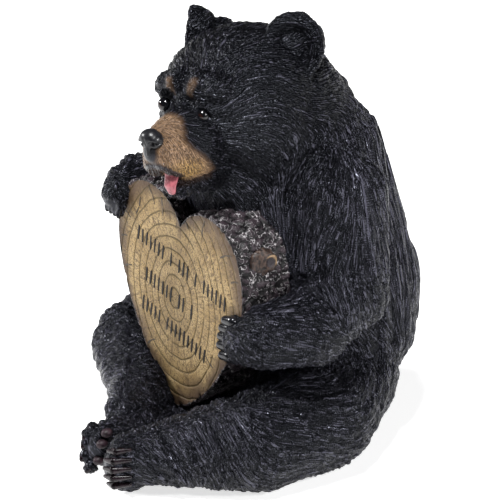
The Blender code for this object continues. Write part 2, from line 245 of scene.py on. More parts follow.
def torso():
    """The trunk from the seat to the neck, the throat and the chest behind the heart."""
    lumps = limb([
        ((0, 24, 30), (55, 42, 34)),
        ((0, 29, 52), (62, 52, 42)),
        ((0, 30, 74), (62, 52, 40)),
        ((0, 28, 106), (54, 45, 35)),
        ((0, 24, 141), (43, 41, 30)),
        ((-1, 10, 168), (36, 36, 32)),
    ])
    lumps.append(bone((-3, -6, 156), (0, 8, 128), 33, 40))
    for side in (-1, 1):
        lumps.append(bone((side * 22, 0, 124), (side * 36, 2, 84), 20, 21))
    return fused("torso", lumps, CLAY_GRAIN, 20)


def limbs():
    """The four limbs, the right paw's back, the fill between the thighs and the two soles."""
    lumps = [lump for joints in LIMBS for lump in limb(joints)]
    lumps += [
        bone((0.5 - GRIP, FACE + 2, TOP - 13), (0.5 - GRIP, FACE - 2, TOP - 16.5), 9.5, 7.5),
        bone((6, -8, 12), (4, -48, 1), 22, 13),
        ball(*FOOT_END),
        ball((2, -80, 14), (8, 15, 13.5)),
    ]
    return fused("limbs", lumps, CLAY_GRAIN, 8)


def head():
    """The skull, brows and cheeks, the muzzle over its two flews, and the jaw below them."""
    lumps = [
        ball((0, 2, 0), (38, 40.5, 35), place=HEAD_PLACE),
        ball((0, -19, 5), (24, 23, 21), place=HEAD_PLACE),
        bone((0, -30, -3), (0, -58, -4.5), 15, 8, HEAD_PLACE),
        bone((0, -59, -6), (0, -63, -8.5), (7, 7, 7), (6.5, 6.5, 6), HEAD_PLACE),
        bone((0, -26, -24), (0, -51, -28.5), 12.5, (6.8, 6.5, 5.6), HEAD_PLACE),
    ]
    for side in (-1, 1):
        lumps += [
            bone((side * 18, -8, -10), (side * 14, 8, -30), (21, 20, 22), (24, 24, 24), HEAD_PLACE),
            ball((side * 11.5, -31.5, 14), (10.5, 8.5, 8), place=HEAD_PLACE),
            ball((side * 6.5, -34.5, 16), (6, 7.5, 8), place=HEAD_PLACE),
            bone((side * 22, 18, 25), (side * 18, 14, 14), 8.5, 15, HEAD_PLACE),
            bone((side * 6, -42, -10), (side * 3.5, -58, -10), 12, 7.5, HEAD_PLACE),
            bone((side * 9.5, -40, -17), (side * 6, -57.5, -16.5), 8, 6, HEAD_PLACE),
            bone((side * 6, -57.5, -16.5), (side * 3, -61.5, -13), 6, 5.4, HEAD_PLACE),
        ]
    return fused("head", lumps, HEAD_GRAIN, 6)


def ears():
    """Two round ears, hollow in front."""
    return fused("ears", [cup(*ear, HEAD_PLACE) for ear in EARS], SKIN_GRAIN, 4)


def around_foot(turn, height, lift):
    """A place on the left foot's round end, turned in degrees from its outer side to its front."""
    (x, y, z), (wide, deep, tall) = FOOT_END
    squeeze = math.sqrt(1 - ((height - z) / tall) ** 2)
    angle = math.radians(turn)
    across = (wide * squeeze + lift) * math.cos(angle)
    forward = (deep * squeeze + lift) * math.sin(angle)
    return (x + across, y - forward, height)


def toes():
    """The fingers and toes under the claws."""
    lumps = []
    for height in LEFT_TOES:
        lumps.append(bone(around_foot(22, height, -1.5), around_foot(58, height, -1), 2.6, 2.6))
    for height, reach in LEFT_FINGERS:
        lumps.append(bone((GRIP - 5, FACE - 1, height), (GRIP - reach, FACE - 2.6, height - 0.6), 3.4, 2.2))
    lumps += [ball(place, 3.2) for place in RIGHT_TOES]
    for across in RIGHT_FINGERS:
        lumps.append(bone((across - 1, FACE - 3, TOP - 18), (across, FACE - 5, TOP - 23), 2.8, 2.0))
    return fused("toes", lumps, SKIN_GRAIN, 2)


# Fields over the skin

def lengths(rows):
    return np.linalg.norm(rows, axis=1)


def arrays_of(mesh):
    """A mesh's points and their normals."""
    points = np.empty(len(mesh.vertices) * 3)
    normals = np.empty(len(mesh.vertices) * 3)
    mesh.vertices.foreach_get("co", points)
    mesh.vertex_normals.foreach_get("vector", normals)
    return points.reshape(-1, 3), normals.reshape(-1, 3)


def move_to(obj, points):
    obj.data.vertices.foreach_set("co", points.astype(np.float32).ravel())
    obj.data.update()


def kept_inside(points):
    """The points eased back where they near the sides of the CAD's box, and cut flat at the floor."""
    low, high = (np.array(corner) for corner in CAD_BOX)
    ease = EDGE_EASE
    for beyond, sign in ((low, 1), (high, -1)):
        gap = (points - beyond) * sign
        near = ease * np.exp(np.minimum(gap, ease) / ease - 1)
        eased = beyond + sign * np.where(gap < ease, near, gap)
        points = np.column_stack((eased[:, :2], points[:, 2] if sign > 0 else eased[:, 2]))
    points[:, 2] = np.maximum(points[:, 2], FLOOR_GAP)
    return points


def in_head(places):
    """Places on the figure, in the head's own space."""
    back = np.array(HEAD_PLACE.inverted())
    return places @ back[:3, :3].T + back[:3, 3]


def smooth_noise(points, seed=SEED):
    """One value from -1 to 1 for each point, in cells one unit wide. Each seed gives its own pattern."""
    cell = np.floor(points)
    part = points - cell
    part = part * part * (3 - 2 * part)
    total = np.zeros(len(points))
    for corner in itertools.product((0, 1), repeat=3):
        key = (cell + corner) @ (12.9898, 78.233, 37.719) + seed
        value = np.modf(np.sin(key) * 43758.5453)[0]
        total += value * np.prod(np.where(corner, part, 1 - part), axis=1)
    return total


def rise(values, low, high):
    """0 below low, 1 above high, smooth between."""
    share = np.clip((values - low) / (high - low), 0, 1)
    return share * share * (3 - 2 * share)


def nearness(points, centre, radii):
    """1 at the centre of an ellipsoid, 0 at its surface and beyond."""
    gap = lengths((points - centre) / radii)
    return np.clip(1 - gap ** 2, 0, 1) ** 2


def beside_line(points, start, end):
    """How far along a line each point lies, from 0 to 1, and how far from it."""
    along = np.subtract(end, start)
    share = np.clip((points - start) @ along / (along @ along), 0, 1)
    return share, lengths(points - start - share[:, None] * along)


def beside_trunk(points):
    """About how far outside the trunk each point lies."""
    centre, radii = TRUNK
    return (lengths((points - centre) / radii) - 1) * 50


def pull(reach, size=3):
    """How strongly a form draws the fur its own way from this far off, as a column."""
    return (1 / (np.maximum(reach, 0) + size) ** 3)[:, None]


def fur_lines(points, normals):
    """The way the fur lies at each point: back from the nose, down the trunk, along the limbs."""
    nose = np.array(HEAD_PLACE @ Vector((0, -75, 4)))
    away = points - nose
    away /= lengths(away)[:, None]
    total = pull(lengths(points - HEAD_CENTRE) - 36) * (away + (0, 0, -0.25))
    total += pull(beside_trunk(points), 5) * np.array((0, 0, -1))
    # The legs' fur runs round an ellipse over the thigh, its half axes 50 long and 40 high.
    up = (points[:, 2] - 56) / 40 ** 2
    back = (points[:, 1] + 2) / 50 ** 2
    round_knee = np.column_stack((np.zeros(len(points)), up, -back))
    round_knee /= lengths(round_knee)[:, None] + 1e-9
    for joints in LIMBS:
        for (start, radius), (end, _) in itertools.pairwise(joints):
            _, reach = beside_line(points, start, end)
            along = np.subtract(end, start)
            if joints in (LEFT_LEG, RIGHT_LEG):
                way = round_knee
            elif start[2] > 120:  # the upper arm, where the fur runs down from the shoulder
                way = along / np.linalg.norm(along)
            else:
                way = -along / np.linalg.norm(along) + (0, 0, -0.7)
            total += pull(reach - radius) * way
    total -= np.sum(total * normals, axis=1)[:, None] * normals
    return total / (lengths(total)[:, None] + 1e-9)


def wavy(lines, points, normals, pitch, turn):
    """The lines turned to and fro about the normals, in waves one pitch long."""
    angle = smooth_noise(points / pitch, SEED + 3) * turn
    across = np.cross(normals, lines)
    return lines * np.cos(angle)[:, None] + across * np.sin(angle)[:, None]


def combed(points, lines, pitch, length):
    """Noise drawn out along the fur's lines, folded so that sharp furrows part round locks."""
    count = max(7, round(length / pitch) + 1)
    steps = np.linspace(-0.5, 0.5, count)
    drawn = sum(smooth_noise((points + lines * step * length) / pitch) for step in steps)
    return np.minimum(np.abs(drawn) / count * math.sqrt(length / pitch) * 2.4, 1.4) - 0.7


def bareness(places):
    """1 on the muzzle's leather, the toes and the claws, 0 in the fur."""
    local = in_head(places)
    bare = nearness(local, (0, -70, -7), (11, 9, 12)) * 2
    bare += rise(1.0 - np.abs(local[:, 2] - lip_height(local)), 0, 1) * rise(-local[:, 1], 40, 44)
    for centre, reach in (
        ((27, -98, 16), 7),  # the left foot's toes
        ((0, -94, 13), 9),  # the right foot's
        ((GRIP - 11, FACE - 3, HOLD), 8),  # the left paw's fingers
        ((2 - GRIP, FACE - 4, TOP - 22), 8),  # the right paw's
    ):
        bare += 1 - rise(lengths(places - centre) / reach, 0.75, 1)
    for eye in EYES:
        bare += 1 - rise(lengths(local - eye), EYE_RADIUS + 0.8, EYE_RADIUS + 1.8)
    return np.clip(bare, 0, 1)


def shortness(places):
    """1 where the fur is short: on the muzzle, round the eyes, on the ears, the paws and the feet."""
    local = in_head(places)
    short = 1.8 * nearness(local, (0, -52, -2), (34, 34, 36))
    for centre, radii, _ in EARS:
        short = np.maximum(short, 1.4 * nearness(local, centre, np.multiply(radii, 1.6)))
    for centre in ((1 - GRIP, FACE - 1, TOP - 16), (GRIP - 3, FACE + 1, HOLD), (24, -88, 16), (0, -90, 14)):
        short = np.maximum(short, 1.5 * nearness(places, centre, (20, 20, 20)))
    return np.clip(short, 0, 1)


def lip_height(local):
    """How high the edge of the upper lip runs in the head's space, from its front to its corner."""
    return np.interp(-local[:, 1], *LIP_EDGE)


def sculpt_face(obj):
    """Sinks the eye sockets, raises the lids' rims and presses in the mouth's corners."""
    points, _ = arrays_of(obj.data)
    local = in_head(points / SHARE)
    inward = np.array(HEAD_TURN.to_matrix() @ Vector((0, 1, 0)))
    depth = np.zeros(len(points))
    for eye in EYES:
        side = math.copysign(1, eye[0])
        depth += nearness(local, (eye[0], eye[1] - 3, eye[2]), (7.5, 9, 6.5)) * 3.2  # socket
        depth += nearness(local, (eye[0] - 5.5 * side, -42, eye[2] + 5), (6.5, 9, 6.5)) * 3.2  # inner hollow
        depth += nearness(local, (eye[0] + side * 6.5, -36, eye[2] - 1), (5, 8, 3)) * 1.2  # outer corner
        gap = np.hypot((local[:, 0] - eye[0]) / 1.18, local[:, 2] - eye[2])
        depth -= np.exp(-((gap - 4.2) / 0.85) ** 2) * (local[:, 1] < eye[1] + 6) * 1.1  # rim of the lids
        depth += nearness(local, (side * 13.5, -42, -22.4), (5, 5, 2.6)) * 2.2  # mouth's corner
    move_to(obj, points + inward * (depth * SHARE)[:, None])


# Each kind of fur's pitch and length, then how high it stands.
LOCKS = (9, 30)
TUFTS = (3.2, 18)
BODY_STRANDS = (1.8, 14)
FACE_STRANDS = (1.4, 6)
LOCK_HEIGHT = 1.1
TUFT_HEIGHT = 0.6
STRAND_HEIGHT = 0.8


def comb_fur(obj):
    """Raises the locks, the tufts and the strands, and keeps the skin's way of lying for the paint."""
    points, normals = arrays_of(obj.data)
    places = points / SHARE
    lines = fur_lines(places, normals)
    fur = 1 - bareness(places)
    short = shortness(places)
    flow = wavy(lines, places, normals, 30, 0.6)
    face = 1 - rise(lengths(places - HEAD_CENTRE), 42, 58)
    locks = combed(places, lines, *LOCKS)
    tufts = combed(places, flow, *TUFTS)
    strands = combed(places, flow, *BODY_STRANDS) * (1 - face) + combed(places, flow, *FACE_STRANDS) * face
    height = LOCK_HEIGHT * (1 - 0.85 * short) * (1 - 0.7 * face) * locks
    height += TUFT_HEIGHT * (1 - 0.75 * short) * (1 - 0.5 * face) * tufts
    height += STRAND_HEIGHT * (1 - 0.5 * short) * (1 - 0.25 * face) * strands
    points += normals * (height * fur * SHARE)[:, None]
    move_to(obj, kept_inside(points))
    strokes = flow * ((1 - 0.5 * face) * (1 - 0.45 * short))[:, None]  # as long as the strokes are there
    note_way(obj, "fur_way", strokes)
    # How high each point stands among the strands. The paint makes it cool grey on the crests, partly
    # dry-brush and partly painted highlight, and near black in the furrows as painted shade.
    crest = np.clip(0.5 + 0.5 * strands + 0.25 * tufts, 0, 1)
    note(obj, {"fur": fur, "crest": crest, **face_paints(in_head(places))})


def note(obj, fields):
    """Writes numbers on an object's points, for its material."""
    for name, values in fields.items():
        field = obj.data.attributes.new(name, "FLOAT", "POINT")
        field.data.foreach_set("value", values.astype(np.float32))


def note_way(obj, name, ways):
    """Writes a direction on each of an object's points."""
    field = obj.data.attributes.new(name, "FLOAT_VECTOR", "POINT")
    field.data.foreach_set("vector", ways.astype(np.float32).ravel())


def face_paints(local):
    """How the face is sprayed: tan muzzle and brows, black leather round the nose, a dark mouth."""
    forward = -local[:, 1]
    lip = local[:, 2] - lip_height(local) + 3.2 * (1 - rise(forward, 50, 60))
    edge = np.interp(-local[:, 2], *TAN_EDGE)
    tan = rise(forward - edge, -2.5, 5.5) * rise(lip - 1.5 * rise(forward, 60, 67), -1.5, 1.4)
    tan *= 0.7 + 0.3 * rise(lengths(local - NOSE), 7, 17)
    for start, end in BROWS:
        _, away = beside_line(local[:, (0, 2)], start, end)
        tan = np.maximum(tan, 0.55 * (1 - rise(away, 0.3, 3.6)) * (forward > 25))
    leather = np.clip(nearness(local, (0, -70, -7), (5.5, 8, 8)) * 2.2, 0, 1)
    mouth = rise(forward, 36, 40) * rise(-lip, -0.8, 0.8) * rise(local[:, 2], -29, -26)
    gold = nearness(local, (6, -55, -19), (17, 15, 9))
    return {"tan": tan * (1 - leather), "leather": leather, "mouth": mouth, "gold": np.clip(gold * 1.4, 0, 1)}


def bear():
    """The whole skin, then parted as a caster would part it, for one mesh can't hold all its strands."""
    body = fused("body", [torso(), limbs()], CLAY_GRAIN, 7)
    body = fused("body", [body, head()], HEAD_GRAIN, 5)
    skin = fused("bear", [body, toes(), ears()], SKIN_GRAIN, 2)
    sculpt_face(skin)
    comb_fur(skin)
    plain_underside(skin)
    return parted(rounded(skin))


def plain_underside(skin):
    """The flat that it stands on, in as few faces as it needs."""
    choose(skin)
    points, _ = arrays_of(skin.data)
    low = points[:, 2] < FLOOR_GAP + 1e-5
    for face in skin.data.polygons:
        face.select = bool(low[list(face.vertices)].all())
    bpy.ops.object.mode_set(mode="EDIT")
    bpy.ops.mesh.select_mode(type="FACE")
    bpy.ops.mesh.dissolve_limited(angle_limit=0.01)
    bpy.ops.object.mode_set(mode="OBJECT")


REGIONS = ("head", "chest", "left_arm", "right_arm", "left_leg", "right_leg", "seat")
NECK_CUT = 40  # how far from the head's centre it is cut off
WAIST_CUT = 70  # how high the trunk is cut in two


def parted(skin):
    """The skin cut where the limbs and the head meet the trunk, each part keeping the whole's shading."""
    places = np.empty(len(skin.data.polygons) * 3)
    skin.data.polygons.foreach_get("center", places)
    places = places.reshape(-1, 3) / SHARE
    reaches = [lengths(places - HEAD_CENTRE) - NECK_CUT, beside_trunk(places)]
    for joints in LIMBS:
        gaps = []
        for (start, wide), (end, narrow) in itertools.pairwise(joints):
            share, reach = beside_line(places, start, end)
            gaps.append(reach - wide + (wide - narrow) * share)
        reaches.append(np.min(gaps, axis=0))
    region = np.argmin(reaches, axis=0)
    region[(region == REGIONS.index("chest")) & (places[:, 2] < WAIST_CUT)] = REGIONS.index("seat")
    for name in REGIONS:
        skin.data.materials.append(bpy.data.materials.new(name))
    skin.data.polygons.foreach_set("material_index", region.astype(np.int32))
    _, normals = arrays_of(skin.data)
    note_way(skin, "lie", normals)
    choose(skin)
    bpy.ops.object.mode_set(mode="EDIT")
    bpy.ops.mesh.separate(type="MATERIAL")
    bpy.ops.object.mode_set(mode="OBJECT")
    parts = list(bpy.context.selected_objects)
    for part in parts:
        name = part.data.materials[part.data.polygons[0].material_index].name
        part.name = part.data.name = name
        lie = part.data.attributes["lie"]
        normals = np.empty(len(part.data.vertices) * 3)
        lie.data.foreach_get("vector", normals)
        part.data.normals_split_custom_set_from_vertices(normals.reshape(-1, 3))
        part.data.attributes.remove(lie)
    return parts


# The slice of log

def heart_outline(steps):
    """Points round the heart in its own plane, from the notch round its +X side and back."""
    notch, shoulder = Vector((0, 0.875)), Vector((0.47, 1.0))
    widest, tip = Vector((1.0, 0.69)), Vector((0, 0))
    curves = [
        (notch, Vector((0.09, 0.95)), Vector((0.25, 1.0)), shoulder),
        (shoulder, Vector((0.80, 1.0)), Vector((1.0, 0.87)), widest),
        (widest, Vector((1.0, 0.46)), Vector((0.42, 0.06)), tip),
    ]
    side = [p for knots in curves for p in geometry.interpolate_bezier(*knots, steps)[:-1]]
    whole = side + [tip] + [Vector((-p.x, p.y)) for p in reversed(side[1:])]
    drifts = [HEART_TIP_DRIFT * (1 - p.y) ** 2 for p in whole]
    return [Vector((p.x * HEART_WIDTH / 2 - drift, p.y * HEART_HEIGHT)) for p, drift in zip(whole, drifts)]


def even_outline(count):
    """The heart's outline with its points at even distances."""
    points = np.array([tuple(p) for p in heart_outline(40)])
    closed = np.vstack((points, points[:1]))
    run = np.concatenate(([0], np.cumsum(lengths(np.diff(closed, axis=0)))))
    places = np.linspace(0, run[-1], count, endpoint=False)
    return np.column_stack([np.interp(places, run, closed[:, i]) for i in (0, 1)])


def ring_share(across, up):
    """How far out a place on the cut face lies: 0 at the pith, 1 on the outline."""
    outline = even_outline(720) - PITH
    turns = np.arctan2(outline[:, 1], outline[:, 0])
    order = np.argsort(turns)
    reach = lengths(outline)[order]
    across, up = across - PITH[0], up - PITH[1]
    edge = np.interp(np.arctan2(up, across), turns[order], reach, period=math.tau)
    return np.hypot(across, up) / edge


def log():
    """A slab pushed back for its thickness, its cut face drawn in ring by ring to the pith."""
    around, rings, layers = 580, 64, 26
    outline = even_outline(around)
    bpy.ops.mesh.primitive_circle_add(vertices=around, radius=1, fill_type="NGON")
    slab = bpy.context.object
    slab.name = slab.data.name = "log"
    for vert, (across, up) in zip(slab.data.vertices, outline):
        vert.co = (across, -HEART_FACE_FORWARD, HEART_TIP_HEIGHT + up)
    opened()
    for _ in range(layers):
        step = (0, HEART_THICKNESS / layers, 0)
        bpy.ops.mesh.extrude_region_move(TRANSFORM_OT_translate={"value": step})
    bpy.ops.mesh.select_all(action="DESELECT")
    bpy.ops.object.mode_set(mode="OBJECT")
    for face in slab.data.polygons:
        face.select = abs(face.normal.y) > 0.9 and face.center.y < 1e-4 - HEART_FACE_FORWARD
    bpy.ops.object.mode_set(mode="EDIT")
    pith = (PITH[0], -HEART_FACE_FORWARD, HEART_TIP_HEIGHT + PITH[1])
    shares = [1 - (ring / rings) ** 1.25 for ring in range(rings)]  # closest together at the torn rim
    for wide, narrow in itertools.pairwise(shares):
        bpy.ops.mesh.extrude_region()
        shrink = narrow / wide
        bpy.ops.transform.resize(value=(shrink, 1, shrink), center_override=pith)
    faced_out()
    carve_log(slab)
    return rounded(slab)


def plates(points, pitch):
    """Worley cells: the distance to the nearest seed and the gap to the second nearest, in pitches."""
    places = points / pitch
    cell = np.floor(places)
    nearest = np.full(len(places), 9.0)
    second = np.full(len(places), 9.0)
    for offset in itertools.product((-1, 0, 1), repeat=3):
        corner = cell + offset
        seeds = [np.abs(np.modf(np.sin(corner @ key) * 43758.5453)[0]) for key in (
            (12.9898, 78.233, 37.719), (39.346, 11.135, 83.155), (73.156, 52.235, 9.151)
        )]
        gap = lengths(corner + np.column_stack(seeds) - places)
        second = np.minimum(second, np.maximum(nearest, gap))
        nearest = np.minimum(nearest, gap)
    return nearest, second - nearest


RINGS = 9.5
RING_SPAN = (0.0475, 0.062)  # how far across and up from the pith the last of them lies


def ring_count(across, up):
    """The growth ring that a place on the cut face lies in, counted from the pith, with its wobble."""
    flat = np.column_stack((across, np.zeros(len(across)), up))
    wobble = smooth_noise(flat / 0.016, 21) * 0.30 + smooth_noise(flat / 0.005, 22) * 0.09
    return np.hypot((across - PITH[0]) / RING_SPAN[0], (up - PITH[1]) / RING_SPAN[1]) * RINGS + wobble


PLATE_PITCH = 0.0052
FURROW_DEPTH = 0.0011
RING_DEPTH = 0.00024
TEAR_DEPTH = 0.0011


def carve_log(slab):
    """Plates of bark round the side, growth rings and a torn rim on the cut face."""
    points, normals = arrays_of(slab.data)
    across, up = points[:, 0], points[:, 2] - HEART_TIP_HEIGHT
    share = np.clip(ring_share(across, up), 0, 1)
    depth = (points[:, 1] + HEART_FACE_FORWARD) / HEART_THICKNESS
    side = rise(share, 0.975, 1.0)
    level = np.column_stack((normals[:, 0], np.zeros(len(across)), normals[:, 2]))
    outward = level / (lengths(level)[:, None] + 1e-9)
    warp = np.column_stack([smooth_noise(points / 0.004, s) for s in (31, 32, 33)])
    nearest, gap = plates(points + 0.0020 * warp, PLATE_PITCH)
    furrow = 1 - rise(gap, 0.02, 0.26)
    grit = smooth_noise(points / 0.0020, 34) * 0.5 + smooth_noise(points / 0.0011, 35) * 0.3
    swell = smooth_noise(points / 0.009, 38)
    bark = 0.0003 * (1 - nearest) - FURROW_DEPTH * furrow + 0.0006 * grit + 0.0009 * swell - 0.0002
    on_side = side * (np.abs(normals[:, 1]) < 0.9)
    points += outward * (bark * on_side)[:, None]
    rings = ring_count(across, up)
    line = 1 - rise(np.abs(rings - np.round(rings)), 0.03, 0.14)
    front = depth < 0.01
    on_face = front * (1 - side)
    points[:, 1] += on_face * (RING_DEPTH * line + 0.00016 * smooth_noise(points / 0.0024, 36))
    torn = rise(share, 0.93, 1.0) * rise(smooth_noise(points / 0.0017, 39), -0.1, 0.5)
    points[:, 1] += front * torn * TEAR_DEPTH
    points[:, (0, 2)] -= (front * torn * 0.010)[:, None] * np.column_stack((across - PITH[0], up - PITH[1]))
    move_to(slab, points)
    note(slab, {
        "ring": rings,
        "share": share,
        "bark": np.clip(side + (depth > 0.02), 0, 1),
        "furrow": furrow,
        "grit": grit,
    })


STROKE_DEPTH = 0.0014
STROKE_LIFT = 0.00014


def sliver(start, end, width, taper=1.0):
    """A thin stroke on the cut face, sunk in it but for a hair. Its ends are blunter the less it tapers."""
    bpy.ops.mesh.primitive_circle_add(vertices=16, radius=0.5, fill_type="NGON")
    stroke = bpy.context.object
    run = Vector((end[0] - start[0], 0, end[1] - start[1]))
    along = run.normalized()
    across = Vector((along.z, 0, -along.x))
    front = -HEART_FACE_FORWARD - STROKE_LIFT
    middle = Vector(((start[0] + end[0]) / 2, front, (start[1] + end[1]) / 2))
    for vert in stroke.data.vertices:
        aside = math.copysign(abs(2 * vert.co.x) ** taper / 2, vert.co.x)
        vert.co = middle + across * aside * width + run * vert.co.y
    opened()
    bpy.ops.mesh.extrude_region_move(TRANSFORM_OT_translate={"value": (0, STROKE_DEPTH, 0)})
    faced_out()
    return stroke


STROKE_ROWS = [  # each row's ends, in shares of the heart's half width and of its height
    ((-0.673, 0.724), (0.721, 0.638)),
    ((-0.548, 0.548), (0.298, 0.493)),
    ((-0.606, 0.403), (0.413, 0.326)),
]
STROKE_HEIGHT = 0.0085
STROKE_WIDTH = 0.0013
STROKE_PITCH = 0.0034
STROKE_LEAN = 0.04
GAP_CHANCE = 0.22


def marks():
    """The rows of black strokes that stand for an inscription: all upright, none touching another."""
    random = np.random.default_rng(SEED)
    strokes = []
    for ends in STROKE_ROWS:
        left, right = (share * HEART_WIDTH / 2 for share, _ in ends)
        left_height, right_height = (HEART_TIP_HEIGHT + share * HEART_HEIGHT for _, share in ends)
        fall = math.atan2(left_height - right_height, right - left)
        place = left
        while place < right:
            length = STROKE_HEIGHT * random.uniform(0.88, 1)
            lean = fall + random.uniform(-STROKE_LEAN, STROKE_LEAN)
            height = left_height - (place - left) * math.tan(fall)
            half = Vector((math.sin(lean), math.cos(lean))) * length / 2
            middle = Vector((place, height))
            strokes.append(sliver(middle - half, middle + half, STROKE_WIDTH, 0.5))
            place += STROKE_PITCH * (2 if random.random() < GAP_CHANCE else 1)
    return welded("marks", strokes)


CRACKS = [  # each crack's two ends, in shares of the heart's half width and of its height
    ((0.63, 0.845), (0.90, 0.92)), ((0.80, 0.76), (0.985, 0.80)), ((-0.97, 0.524), (-0.79, 0.544)),
    ((-0.60, 0.175), (-0.405, 0.261)), ((-0.985, 0.66), (-0.86, 0.673)), ((-0.517, 0.985), (-0.405, 0.905)),
    ((-0.30, 0.960), (-0.277, 0.874)), ((0.346, 0.891), (0.394, 0.975)), ((-0.64, 0.90), (-0.717, 0.802)),
    ((-0.246, 0.113), (-0.205, 0.040)), ((0.72, 0.42), (0.85, 0.465)), ((-0.96, 0.37), (-0.85, 0.385)),
    ((-0.81, 0.27), (-0.70, 0.29)), ((0.10, 0.945), (0.13, 0.885)), ((-0.91, 0.79), (-0.80, 0.77)),
    ((0.52, 0.30), (0.40, 0.335)),
]


CRACK_REACH = 0.95  # how far out a crack may run, as a share of the way to the outline


def clear_of_rim(across, up):
    """A place on the cut face, drawn in if it lies where the rim is torn."""
    share = ring_share(np.array([across]), np.array([up]))[0]
    draw = min(1, CRACK_REACH / share)
    return Vector((PITH[0] + (across - PITH[0]) * draw, HEART_TIP_HEIGHT + PITH[1] + (up - PITH[1]) * draw))


def cracks():
    """Drying cracks that run in from the rim of the cut face, drawn as dark brown slivers whose colour is
    painted shade for their gaps.
    """
    made = []
    for ends in CRACKS:
        start, end = (clear_of_rim(x * HEART_WIDTH / 2, y * HEART_HEIGHT) for x, y in ends)
        bend = Vector((start.y - end.y, end.x - start.x)) * 0.08
        halfway = (start + end) / 2 + bend
        made.append(sliver(start, halfway, 0.0010))
        made.append(sliver(halfway, end, 0.0007))
    return welded("cracks", made)


KNOT_PROFILE = [  # from the mound's foot to the hollow in its end, as (radius, height)
    (7.2, -2.2), (6.9, -0.4), (5.9, 0.9), (4.6, 1.8), (3.7, 2.8), (3.0, 3.1), (2.4, 2.4), (1.8, 2.1),
    (0.9, 2.2),
]


def knot():
    """The stub of a lost branch: a mound of bark that leans back, with a ring of wood on its end."""
    foot_radius, foot = KNOT_PROFILE[0]
    outline = even_outline(400)
    right = outline[outline[:, 0] > 0]
    beside = right[np.argmin(np.abs(right[:, 1] - KNOT_RISE))]
    place = Vector((beside[0], HEART_THICKNESS / 2 - HEART_FACE_FORWARD, HEART_TIP_HEIGHT + KNOT_RISE))
    bpy.ops.mesh.primitive_circle_add(vertices=40, radius=foot_radius * SHARE, fill_type="NGON")
    stub = bpy.context.object
    stub.name = stub.data.name = "knot"
    opened()
    for (wide, low), (narrow, high) in itertools.pairwise(KNOT_PROFILE):
        bpy.ops.mesh.extrude_region_move(TRANSFORM_OT_translate={"value": (0, 0, (high - low) * SHARE)})
        middle = (0, 0, (high - foot) * SHARE)
        bpy.ops.transform.resize(value=(narrow / wide,) * 3, center_override=middle)
    faced_out()
    worked(stub, "SUBSURF", levels=2, render_levels=2)
    points, _ = arrays_of(stub.data)
    reach = lengths(points[:, :2]) / SHARE
    crescent = (points[:, 1] - points[:, 0]) / (reach * SHARE + 1e-9)
    cut = (1 - rise(np.abs(reach - 3.1), 0.3, 0.8)) * rise(crescent, -0.2, 0.9)
    points[:, 1] += rise(points[:, 2] / SHARE, 2.4, 4.8) * 2.6 * SHARE
    move_to(stub, points)
    note(stub, {"cut": cut, "hollow": 1 - rise(reach, 2.0, 2.8)})
    turned = Euler((0, math.radians(84), 0)).to_matrix().to_4x4()
    stub.data.transform(Matrix.Translation(place + Vector((-2.2 * SHARE, 0, 0))) @ turned)
    points, normals = arrays_of(stub.data)
    move_to(stub, points + normals * (0.0005 * smooth_noise(points / 0.0020, 41))[:, None])
    return rounded(stub)


# Small gloss-painted forms

def eyes():
    """Two balls, with how far each point lies from the middle of the gaze."""
    pair = welded("eyes", [ball(eye, EYE_RADIUS, place=HEAD_PLACE) for eye in EYES])
    points, _ = arrays_of(pair.data)
    local = in_head(points / SHARE)
    gaze = [lengths(local - (x * 1.1, y - 3.9, z - 0.4)) for x, y, z in EYES]
    note(pair, {"iris": np.minimum(*gaze)})
    return rounded(pair)


def nose():
    """The nose pad, with its two nostrils and the groove between them."""
    place = HEAD_PLACE @ Matrix.Translation(NOSE)
    pad = fused("nose", [
        ball((0, 0, 0.6), (5.3, 4.9, 4.3), place=place),
        ball((-2.8, 0.3, -0.6), (3.4, 4.4, 3.9), place=place),
        ball((2.8, 0.3, -0.6), (3.4, 4.4, 3.9), place=place),
        bone((0, -1.5, -2), (0, -2.2, -7), (1.5, 2.4, 1.5), (1.1, 1.6, 1.2), place),
    ], DETAIL_GRAIN, 3)
    points, normals = arrays_of(pad.data)
    local = in_head(points / SHARE) - NOSE
    for side in (-1, 1):
        dip = nearness(local, (side * 3.4, -3.2, -2.0), (2.5, 3.4, 2.2)) * 3.2
        dip += nearness(local, (side * 5.4, -1.2, -1.6), (1.6, 3.0, 1.3)) * 1.5
        points -= normals * (dip * SHARE)[:, None]
    dip = nearness(local, (0, -5.4, -1.5), (0.9, 3.4, 4.2)) * 0.8
    points -= normals * (dip * SHARE)[:, None]
    move_to(pad, points)
    return rounded(pad)


def tongue():
    """The tip of the tongue, hanging over the left of the lower lip."""
    tip = fused("tongue", [
        bone((2.5, -50, -18.5), (3.6, -58.5, -20.5), (4.4, 2, 1.8), (4.4, 2, 1.7), HEAD_PLACE),
        bone((3.6, -58.5, -20.5), (3.7, -61.0, -25.5), (4.3, 1.6, 1.6), (3.4, 1.4, 1.8), HEAD_PLACE),
        bone((3.7, -61.0, -25.5), (4.3, -60.9, -28.2), (3.4, 1.4, 1.8), (2.2, 1.2, 1.6), HEAD_PLACE),
    ], DETAIL_GRAIN, 4)
    return rounded(tip)


def finger_claws():
    """Black claws on the fingers of both paws."""
    made = []
    for height, reach in LEFT_FINGERS:
        tip = (GRIP - reach - 1.5, FACE - 3.6, height - 0.8)
        made.append(bone((GRIP - reach + 3, FACE - 3, height), tip, (3, 2.6, 2.9), (2.5, 2.2, 2.4)))
    for across in RIGHT_FINGERS:
        tip = (across + 0.4, FACE - 5.8, TOP - 24)
        made.append(bone((across - 0.3, FACE - 4.6, TOP - 21), tip, 1.6, 1.1))
    return rounded(welded("finger_claws", made))


